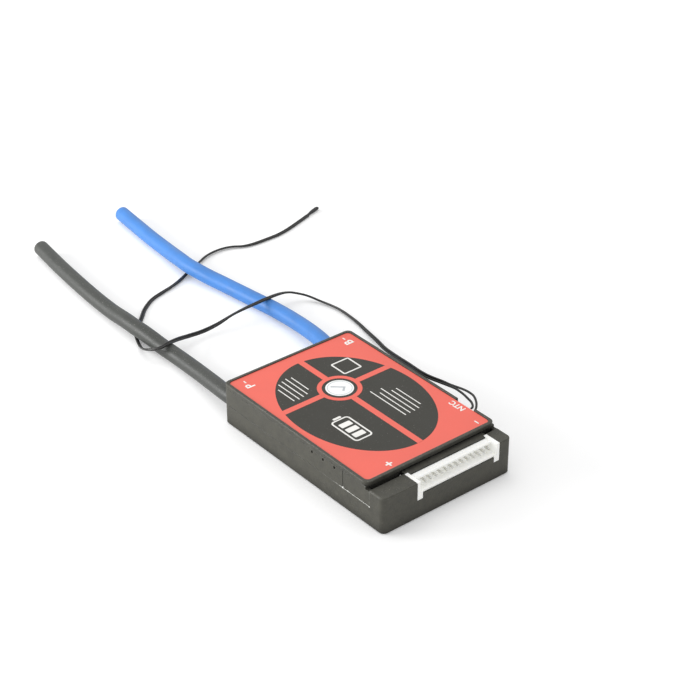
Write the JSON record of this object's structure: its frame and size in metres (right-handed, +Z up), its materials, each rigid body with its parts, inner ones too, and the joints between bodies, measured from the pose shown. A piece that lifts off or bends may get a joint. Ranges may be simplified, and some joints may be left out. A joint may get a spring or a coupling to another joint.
{
  "type": "battery management board",
  "caption": "Flat moulded case round a battery management board, with a pin header across the front, two thick power leads at the back and a thin thermistor lead at the side.",
  "frame": {"origin": "middle of the case's footprint, on the surface that it stands on", "axes": "+Z up through the label, -Y out of the balance header's mouth, +Y the way the power leads leave, +X towards the side of the thermistor socket"},
  "size_m": [0.1342, 0.2515, 0.0172],
  "materials": {
    "case_plastic": "fine satin grain",
    "label_film": "semi-gloss printed film",
    "sticker_film": "gloss film",
    "glue": "cured white bead",
    "laminate": "solder mask",
    "connector_plastic": "satin",
    "tinned_metal": "tin plated",
    "chip_resin": "matte moulded",
    "soft_pad": "soft silicone",
    "spreader_metal": "milled",
    "copper": "tinned copper",
    "ceramic": "sintered",
    "black_insulation": "satin silicone",
    "blue_insulation": "satin silicone",
    "thin_insulation": "satin"
  },
  "bodies": {
    "root": {"lower_case": "case_plastic", "case_frame": "case_plastic", "top_cover": "case_plastic", "label": "label_film", "inspection_sticker": "sticker_film", "seam_glue": "glue", "circuit_board": "laminate", "balance_header": "connector_plastic", "header_pins": "tinned_metal", "ntc_socket": "connector_plastic", "ntc_socket_pins": "tinned_metal", "ntc_plug": "connector_plastic", "mosfet_bodies": "chip_resin", "mosfet_tabs": "tinned_metal", "thermal_pad": "soft_pad", "heat_spreader": "spreader_metal", "current_shunts": "chip_resin", "battery_strap": "tinned_metal", "load_strap": "tinned_metal", "balance_resistors": "chip_resin", "resistor_caps": "tinned_metal", "balance_transistors": "chip_resin", "monitor_chip": "chip_resin", "monitor_chip_legs": "tinned_metal", "driver_chip": "chip_resin", "filter_capacitors": "ceramic", "solder_joints": "tinned_metal", "load_lead": "black_insulation", "load_lead_core": "copper", "battery_lead": "blue_insulation", "battery_lead_core": "copper", "ntc_tails": "thin_insulation", "ntc_lead": "thin_insulation", "thermistor_tip": "thin_insulation"}
  },
  "joints": []
}
